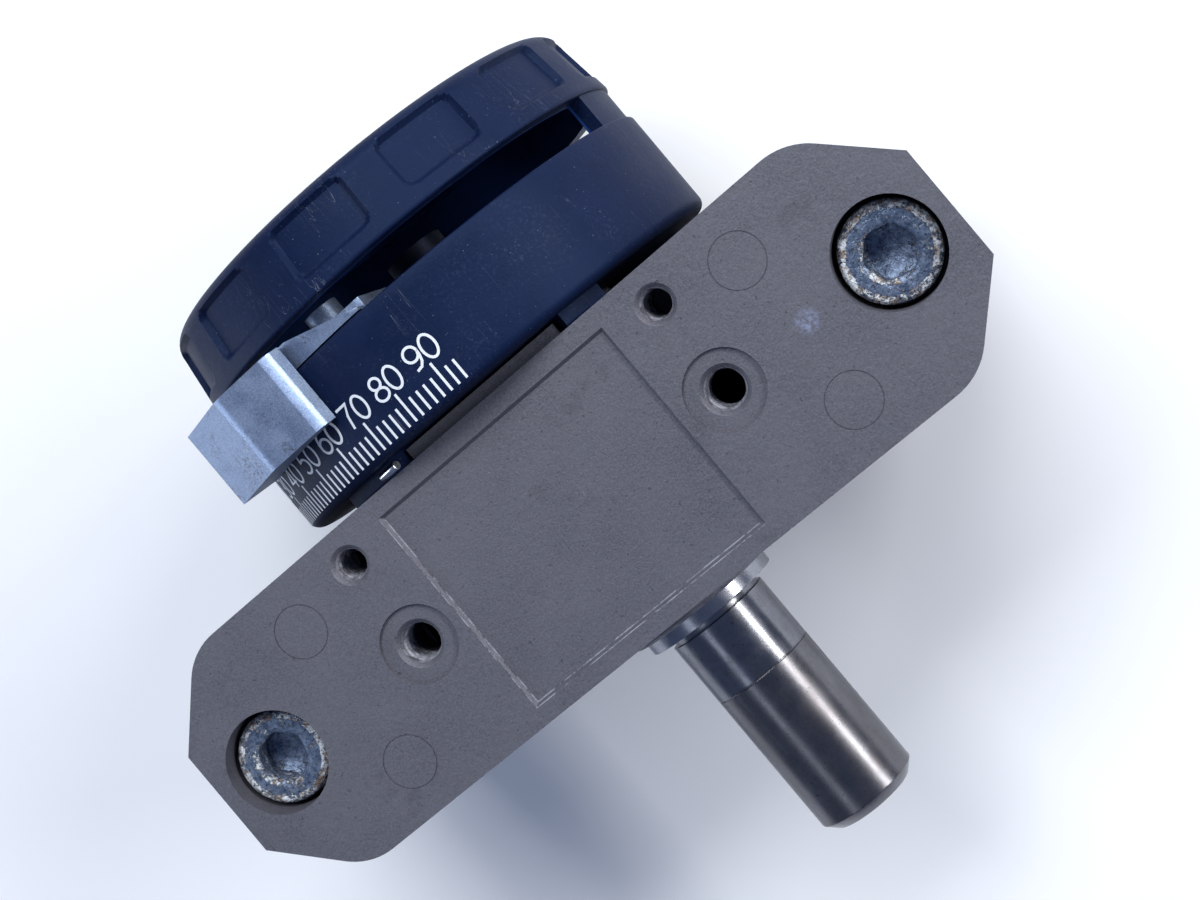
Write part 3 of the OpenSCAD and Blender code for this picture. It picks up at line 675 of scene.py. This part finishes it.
def stroke(line, width):
    """A ribbon along a line: its points and its faces."""
    count = len(line)
    closed = math.dist(line[0], line[-1]) < 1e-9
    points = []
    for i, (x, y) in enumerate(line):
        before = line[i - 1] if i else (line[-2] if closed else line[0])
        after = line[i + 1] if i < count - 1 else (line[1] if closed else line[-1])
        dx, dy = after[0] - before[0], after[1] - before[1]
        size = math.hypot(dx, dy)
        nx, ny = -dy / size, dx / size
        turn = 1.0
        if 0 < i < count - 1:
            into = Vector((x - before[0], y - before[1])).normalized()
            turn = max(0.45, abs(into.dot(Vector((dx, dy)) / size)))
        points += [(x + nx * width / turn / 2, y + ny * width / turn / 2),
                   (x - nx * width / turn / 2, y - ny * width / turn / 2)]
    faces = [[2 * i, 2 * i + 1, 2 * i + 3, 2 * i + 2] for i in range(count - 1)]
    return points, faces


def scale_numbers():
    """The generic degrees of the scale, tops towards the cap, on both sides of the zero."""
    built = bmesh.new()
    unit = DIGIT_H / DIGIT_TALL
    for value in range(-DIGIT_END, DIGIT_END + 1, DIGIT_STEP):
        word = str(abs(value))
        for place, digit in enumerate(word):
            start = (place - (len(word) - 1) / 2) * DIGIT_SHIFT - DIGIT_W / 2
            for line in digit_lines(digit):
                scaled = [(start + x * DIGIT_W, (y - DIGIT_TALL / 2) * unit) for x, y in line]
                points, faces = stroke(scaled, STROKE)
                on_drum(built, points, faces, MID_ANGLE + value, DIGIT_Y)
    mesh = finish_mesh("scale_numbers", built)
    new_piece("scale_numbers", mesh, "housing", PRINT)


SCREW_TOP = SCREW_HIGH.z
SCREW_STEPS = 144
SHANK_R = 3 * MM
HEAD_R = (SCREW_HIGH.y - SCREW_LOW.y) / 2
HEAD_H = 6 * MM
HEAD_ROUND = 0.7 * MM
SOCKET_HALF = 2.5 * MM                # half the width across its flats
SOCKET_CHAMFER = (0.42 * MM, 0.3 * MM)    # its run and its depth
SOCKET_FLOOR = SCREW_TOP - 3.7 * MM
SCREW_TURN = 17                       # degrees by which the sockets are turned
CRUST_SIDE = 190                      # side of the socket where the crust is heaviest
CRUST_SIZE, CRUST_HIGH = 0.55 * MM, 0.20 * MM    # of its lumps


def socket_radius(angle):
    """The socket's wall, its corners filled up with crust."""
    turn = (angle + 30) % 60 - 30
    return min(SOCKET_HALF / math.cos(math.radians(turn)), 1.07 * SOCKET_HALF)


def head_rows(angles, turn_by):
    """Rings of (radius, height, share of crust) from the shank's end to the socket's floor."""
    outline = [(SHANK_R, SCREW_LOW.z), (SHANK_R, SCREW_TOP - HEAD_H), (HEAD_R, SCREW_TOP - HEAD_H)]
    outline += [(HEAD_R, SCREW_TOP - HEAD_ROUND - 0.5 * MM * t) for t in range(8, 0, -1)]
    outline += arc((HEAD_R - HEAD_ROUND, SCREW_TOP - HEAD_ROUND), HEAD_ROUND, 0, 90, 8)
    outline += [(HEAD_R - HEAD_ROUND - t * 0.14 * MM, SCREW_TOP) for t in range(1, 8)]
    rows = [[(radius, z, 1.0 if radius > HEAD_R - 0.9 * MM else 0.35)] * len(angles)
            for radius, z in outline]
    run, foot = SOCKET_CHAMFER[0], SCREW_TOP - SOCKET_CHAMFER[1]
    walls = [socket_radius(angle) for angle in angles]
    heavy = [0.45 + 0.5 * math.cos(math.radians(angle + turn_by - CRUST_SIDE)) for angle in angles]
    rows.append([(wall + run, SCREW_TOP, share) for wall, share in zip(walls, heavy)])
    rows.append([(wall, foot, share) for wall, share in zip(walls, heavy)])
    rows += [[(wall - 0.01 * MM, foot - t * 0.48 * MM, 0.5) for wall in walls] for t in range(1, 7)]
    rows.append([(wall * 0.55, SOCKET_FLOOR, 0.15) for wall in walls])
    return rows


def corroded(spot, centre, radius, share):
    """A point of the head moved by the lumps of its crust."""
    lump = max(0.0, noise.fractal(spot / CRUST_SIZE, 0.7, 2.2, 4)) * CRUST_HIGH * share
    inward = Vector((centre.x - spot.x, centre.y - spot.y, 0)).normalized()
    moved = spot + inward * lump * (0.7 if radius > 4.5 * MM else -0.5)
    moved.z -= lump * (0.8 if spot.z > SCREW_TOP - 0.05 * MM else 0.2)
    return moved


def cap_screws():
    """Two cap screws with rounded rims, chamfered hex sockets and a crust of corrosion."""
    built = bmesh.new()
    crust = built.verts.layers.float.new("crust")
    angles = [360 * i / SCREW_STEPS for i in range(SCREW_STEPS)]
    for side in (-1, 1):
        centre = Vector((side * (SCREW_HIGH.x - HEAD_R), MID_Y, 0))
        turn_by = SCREW_TURN * side
        rings = []
        for row in head_rows(angles, turn_by):
            ring = []
            for angle, (radius, z, share) in zip(angles, row):
                turn = math.radians(angle + turn_by)
                spot = Vector((radius * math.cos(turn), radius * math.sin(turn), z)) + centre
                if z > SCREW_TOP - 4.2 * MM and share > 0.2:
                    spot = corroded(spot, centre, radius, share)
                made = built.verts.new(spot)
                made[crust] = share
                ring.append(made)
            rings.append(ring)
        for lower, upper in zip(rings, rings[1:]):
            join_rings(built, lower, upper)
        built.faces.new(list(reversed(rings[0])))
        built.faces.new(rings[-1])
    mesh = finish_mesh("cap_screws", built)
    piece = new_piece("cap_screws", mesh, "housing", FINISH["corroded_screw"], 50)
    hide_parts("body_screws")


THREAD_STEPS, THREAD_ROWS = 56, 8     # points round the bore, rings for each turn of the thread
THREAD_SHARE = 0.32                   # height of the ridge as a share of the pitch
THREAD_SKIN = 0.02 * MM               # wall of the sleeve between two ridges
PORT_PITCH, SMALL_PITCH = 0.8 * MM, 0.7 * MM
PORT_THREAD = (FACE_Z - 0.86 * MM, FACE_Z - 5.4 * MM)     # its top and bottom
SMALL_THREAD = (FACE_Z - 0.46 * MM, FACE_Z - 7.5 * MM)


def thread_tube(name, centre, bore, pitch, ends):
    """A thin closed sleeve in a bore with a helical ridge, so that the hole shows its thread."""
    built = bmesh.new()
    top, bottom = ends
    shares = [i / THREAD_STEPS for i in range(THREAD_STEPS)]

    def ring(z, radii):
        """A ring of points round the bore at one height."""
        spots = [(radius, 2 * math.pi * share) for radius, share in zip(radii, shares)]
        return [built.verts.new(centre + Vector((radius * math.cos(turn), radius * math.sin(turn), z)))
                for radius, turn in spots]

    rows = int((top - bottom) / pitch * THREAD_ROWS)
    rings = []
    for j in range(rows + 1):
        z = bottom + (top - bottom) * j / rows
        fade = min(1.0, (top - z) / pitch, (z - bottom) / pitch)
        ridges = [THREAD_SHARE * pitch * abs(2 * ((z / pitch - share) % 1.0) - 1) * fade
                  for share in shares]
        rings.append(ring(z, [bore - THREAD_SKIN - ridge for ridge in ridges]))
    rings += [ring(z, [bore] * THREAD_STEPS) for z in ends]
    for lower, upper in zip(rings, rings[1:] + rings[:1]):
        join_rings(built, lower, upper)
    mesh = finish_mesh(name, built)
    new_piece(name, mesh, "housing", WORN_CASTING, 60)


def threads():
    """Thread sleeves in the two air ports and in the two small holes."""
    for port in ("port_a", "port_b"):
        x, y, _ = MOUNTS[port]["pos_m"]
        thread_tube(port + "_thread", Vector((x, y, 0)), MOUNTS[port]["dims"]["r_mm"] * MM,
                    PORT_PITCH, PORT_THREAD)
    holes = MOUNTS["accessory_holes"]
    half = holes["dims"]["spacing_x_mm"] * MM / 2
    for side, name in ((-1, "left"), (1, "right")):
        thread_tube("small_thread_" + name, Vector((side * half, holes["pos_m"][1], 0)),
                    holes["dims"]["hole_r_mm"] * MM, SMALL_PITCH, SMALL_THREAD)


# ---------------------------------------------------------------- CAD nodes

def cut_tool(name, built, finishes):
    """A hidden cutter for a Boolean modifier, with the finishes that its faces leave behind."""
    tool = bpy.data.objects.new(name, finish_mesh(name, built))
    for finish in finishes:
        tool.data.materials.append(finish)
    bpy.context.scene.collection.objects.link(tool)
    tool.hide_render = True
    tool.hide_viewport = True
    return tool


def tube(built, centre, along_z, inner, outer, low, high, steps=64):
    """A closed ring shape round centre, its axis along Z, or else along Y."""
    rows = []
    for radius, along in ((inner, low), (outer, low), (outer, high), (inner, high)):
        row = []
        for i in range(steps):
            turn = 2 * math.pi * i / steps
            across, up = radius * math.cos(turn), radius * math.sin(turn)
            spot = Vector((across, up, along)) if along_z else Vector((across, along, up))
            row.append(built.verts.new(centre + spot))
        rows.append(row)
    for here, there in zip(rows, rows[1:] + rows[:1]):
        join_rings(built, here, there)


def dress(node, finish, width=0.0, worn=None, cutter=None):
    """Gives a CAD node its material and, where asked, fine cuts and bevels in a lighter edge finish:
    worn metal, on the stops partly a painted highlight.
    """
    thing = frame["nodes"][node]
    thing.data.materials.clear()
    thing.data.materials.append(finish)
    if worn:
        thing.data.materials.append(worn)
    if cutter or width:
        weld = thing.modifiers.new("weld", "WELD")
        weld.merge_threshold = 1e-6
    if cutter:
        cut = thing.modifiers.new("cut", "BOOLEAN")
        cut.object = cutter
        cut.operation = "DIFFERENCE"
        cut.solver = "EXACT"
    if width:
        plain = thing.modifiers.new("plain", "DECIMATE")
        plain.decimate_type = "DISSOLVE"
        plain.angle_limit = math.radians(0.4)
        bevel = thing.modifiers.new("bevel", "BEVEL")
        bevel.width = width
        bevel.segments = 2
        bevel.limit_method = "ANGLE"
        bevel.angle_limit = math.radians(38)
        bevel.loop_slide = False
        if worn:
            bevel.material = 1
    if cutter or width:
        thing.modifiers.new("normals", "WEIGHTED_NORMAL").keep_sharp = True


EJECTOR_X, EJECTOR_Y = 28.8 * MM, 8.5 * MM    # from the middle of the port face
EJECTOR_R = (2.72 * MM, 2.86 * MM)    # inner and outer radius of the ring it leaves
EJECTOR_DEEP, EJECTOR_OUT = 0.09 * MM, 0.2 * MM    # how far its cutter goes in and stands out
RECESS_X = -14.8 * MM                 # left rim of the plate recess
RECESS_Y = (1.95 * MM, 26.3 * MM)     # its front and rear rims
RECESS_RUN, RECESS_DEEP = 0.35 * MM, 0.4 * MM     # of its sloping walls
RUB_HIGHLIGHT_HALF = 0.07 * MM                  # half width of a bright line: partly rubbed metal, partly a painted highlight
RUB_HIGHLIGHT_DEEP, RUB_HIGHLIGHT_OUT = 0.03 * MM, 0.3 * MM
SCORE_HALF = 0.09 * MM                # half width of the scored ring
SCORE_DEEP, SCORE_OUT = 0.12 * MM, 0.4 * MM


def prism(built, lower, upper, finish):
    """A closed prism between two like outlines, its faces in that material slot."""
    lower = [built.verts.new(point) for point in lower]
    upper = [built.verts.new(point) for point in upper]
    faces = [built.faces.new(lower), built.faces.new(upper)]
    for i, here in enumerate(lower):
        j = (i + 1) % len(lower)
        faces.append(built.faces.new((here, lower[j], upper[j], upper[i])))
    for face in faces:
        face.material_index = finish


def face_cuts():
    """Ejector marks, and bright lines at the rim and foot of the two recess walls that face the light:
    partly rubbed metal, partly a painted highlight.
    """
    built = bmesh.new()
    for side in (-1, 1):
        for step in (-1, 1):
            centre = Vector((side * EJECTOR_X, MID_Y + step * EJECTOR_Y, 0))
            tube(built, centre, True, *EJECTOR_R, FACE_Z - EJECTOR_DEEP, FACE_Z + EJECTOR_OUT)
    # Painted highlight: only the left and front walls, which face the light, get the bright worn lines;
    # the walls on the shaded side get none.
    for run, deep in ((0, 0), (RECESS_RUN, RECESS_DEEP)):
        left, near = RECESS_X + run - RUB_HIGHLIGHT_HALF, RECESS_Y[0] + run - RUB_HIGHLIGHT_HALF
        right, far = -RECESS_X - run - 2 * RUB_HIGHLIGHT_HALF, RECESS_Y[1] - run - 2 * RUB_HIGHLIGHT_HALF
        left_in, near_in = left + 2 * RUB_HIGHLIGHT_HALF, near + 2 * RUB_HIGHLIGHT_HALF
        corner = [(left, near), (right, near), (right, near_in),
                  (left_in, near_in), (left_in, far), (left, far)]
        low, high = FACE_Z - deep - RUB_HIGHLIGHT_DEEP, FACE_Z - deep + RUB_HIGHLIGHT_OUT
        prism(built, [(x, y, low) for x, y in corner], [(x, y, high) for x, y in corner], 1)
    return cut_tool("face_cutter", built, (FINISH["housing"], WORN_CASTING))


def shaft_cuts():
    """A fine scored ring where a hub has sat on the shaft."""
    built = bmesh.new()
    tube(built, Vector(), False, SHAFT_R - SCORE_DEEP, SHAFT_R + SCORE_OUT,
         SCORE_Y - SCORE_HALF, SCORE_Y + SCORE_HALF, 96)
    return cut_tool("shaft_cutter", built, (FINISH["shaft_steel"],))


STOP_TURN = MID_ANGLE + 50.7          # middle of the first stop round the shaft
# Points along its outer faces, mm across and out
STOP_FACES = ((-7.8, 31.4), (1.4, 31.9), (7.3, 28.3), (7.3, 26))
STOP_BENDS = (2.4 * MM, 1.5 * MM)     # radii of its two bends
BEND_STEPS = 14
BEND_LEAD, BEND_OUT, BEND_PAST = 0.6 * MM, 1.2 * MM, 0.5 * MM    # how far the cutter goes beyond


def bend_outline(before, corner, after, radius):
    """What a bend of that radius takes off the corner between two faces."""
    into, away = (before - corner).normalized(), (after - corner).normalized()
    inward, side = (into + away).normalized(), (away - into).normalized()
    half = into.angle(away) / 2
    centre = corner + inward * radius / math.sin(half)
    curve = []
    for i in range(BEND_STEPS):
        turn = (math.pi - 2 * half) * ((i + 0.5) / BEND_STEPS - 0.5)
        curve.append(centre + radius * (side * math.sin(turn) - inward * math.cos(turn)))
    lead = (curve[0] - curve[1]).normalized() * BEND_LEAD
    tail = (curve[-1] - curve[-2]).normalized() * BEND_LEAD
    return [curve[0] + lead, *curve, curve[-1] + tail, corner - inward * BEND_OUT]


def stop_cuts(node):
    """Rounds the two bends of a stop. The second one is in the lighter edge zinc, partly rubbed metal
    and partly a painted highlight.
    """
    built = bmesh.new()
    low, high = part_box(node)
    points = [Vector(point) * MM for point in STOP_FACES]
    for i, radius in enumerate(STOP_BENDS):
        rows = ([], [])
        for across, out in bend_outline(*points[i:i + 3], radius):
            angle = STOP_TURN + math.degrees(math.atan2(across, out))
            if node == "stop_b":
                angle = 2 * MID_ANGLE - angle
            for row, y in zip(rows, (low.y - BEND_PAST, high.y + BEND_PAST)):
                row.append(on_shaft(math.hypot(across, out), angle, y))
        prism(built, *rows, i)
    return cut_tool(node + "_cutter", built, (FINISH["stop_zinc"], WORN_ZINC_AND_HIGHLIGHT))


# Widths of the bevels, mm
BEVEL = {
    "label_half": 0.16, "rear_half": 0.16, "main_shaft": 0.1, "pilot_ring": 0.12, "shaft_collar": 0.12,
    "end_cap": 0.25, "stop_lever": 0.2, "stop_ring": 0.1, "locating_pin": 0.08,
    "stop_a": 0.3, "stop_b": 0.3, "stop_a_screw": 0.1, "stop_b_screw": 0.1,
}


def dress_nodes():
    """Gives every CAD node the finish of its material slot, and the ones in view their fine detail."""
    slots = {part["node"]: part["material_slot"] for part in RECORD["subparts"]}
    # Edge finishes: worn casting on the housing; on the stops worn zinc with a painted highlight.
    worn = {"label_half": WORN_CASTING, "rear_half": WORN_CASTING,
            "stop_a": WORN_ZINC_AND_HIGHLIGHT, "stop_b": WORN_ZINC_AND_HIGHLIGHT}
    for node in frame["nodes"]:
        cutter = None
        if node == "label_half":
            cutter = face_cuts()
        elif node == "main_shaft":
            cutter = shaft_cuts()
        elif node in ("stop_a", "stop_b"):
            cutter = stop_cuts(node)
        dress(node, FINISH[slots[node]], BEVEL.get(node, 0) * MM, worn.get(node), cutter)


# ---------------------------------------------------------------- room

FLOOR_HALF = 1.5                      # metres
FLOOR_GAP = 0.05 * MM


def add_floor():
    """A pale floor just under the drive."""
    built = bmesh.new()
    bmesh.ops.create_grid(built, x_segments=2, y_segments=2, size=FLOOR_HALF)
    bmesh.ops.translate(built, verts=built.verts, vec=(0, 0, CAD_BOX[0].z - FLOOR_GAP))
    mesh = finish_mesh("floor", built)
    floor = bpy.data.objects.new("floor", mesh)
    bpy.context.scene.collection.objects.link(floor)
    mesh.materials.append(pale_floor("pale_floor"))


def soft_light(name, angle, along, distance, size, power, tint):
    """An area light that faces the housing, its second size running along the shaft.
    Its place is given by its angle round the shaft, its place along it and its distance from it."""
    data = bpy.data.lights.new(name, "AREA")
    data.shape = "RECTANGLE"
    data.size, data.size_y = size
    data.energy = power
    data.color = tint
    lamp = bpy.data.objects.new(name, data)
    bpy.context.scene.collection.objects.link(lamp)
    place = on_shaft(distance, angle, along)
    away = (place - Vector((0, MID_Y, 0))).normalized()
    across = Vector((0, 1, 0)).cross(away).normalized()
    turn = Matrix((across, away.cross(across), away)).transposed().to_4x4()
    lamp.matrix_world = Matrix.Translation(place) @ turn


def add_lights():
    """A long window to the right, two weak lights to the left, a broad one over the drum, a sky."""
    soft_light("window", 58, 0.02, 0.62, (0.08, 0.60), 3.4, (1.0, 0.99, 0.96))
    soft_light("sky_left", -31, -0.24, 0.75, (0.14, 0.44), 0.35, (0.84, 0.91, 1.0))
    soft_light("side_left", -75, 0.17, 0.60, (0.25, 0.20), 1.05, (0.84, 0.91, 1.0))
    soft_light("overhead", 15, 0.52, 0.70, (0.70, 0.30), 7.0, (0.96, 0.98, 1.0))
    world = bpy.data.worlds.new("sky")
    bpy.context.scene.world = world
    world.use_nodes = True
    sky = world.node_tree.nodes["Background"]
    sky.inputs["Color"].default_value = (0.44, 0.58, 1.0, 1)
    sky.inputs["Strength"].default_value = 0.26
    bpy.context.scene.view_settings.view_transform = "Standard"


add_camera()
dress_nodes()
cover_shell()
scale_ticks()
scale_numbers()
cap_screws()
threads()
add_floor()
add_lights()
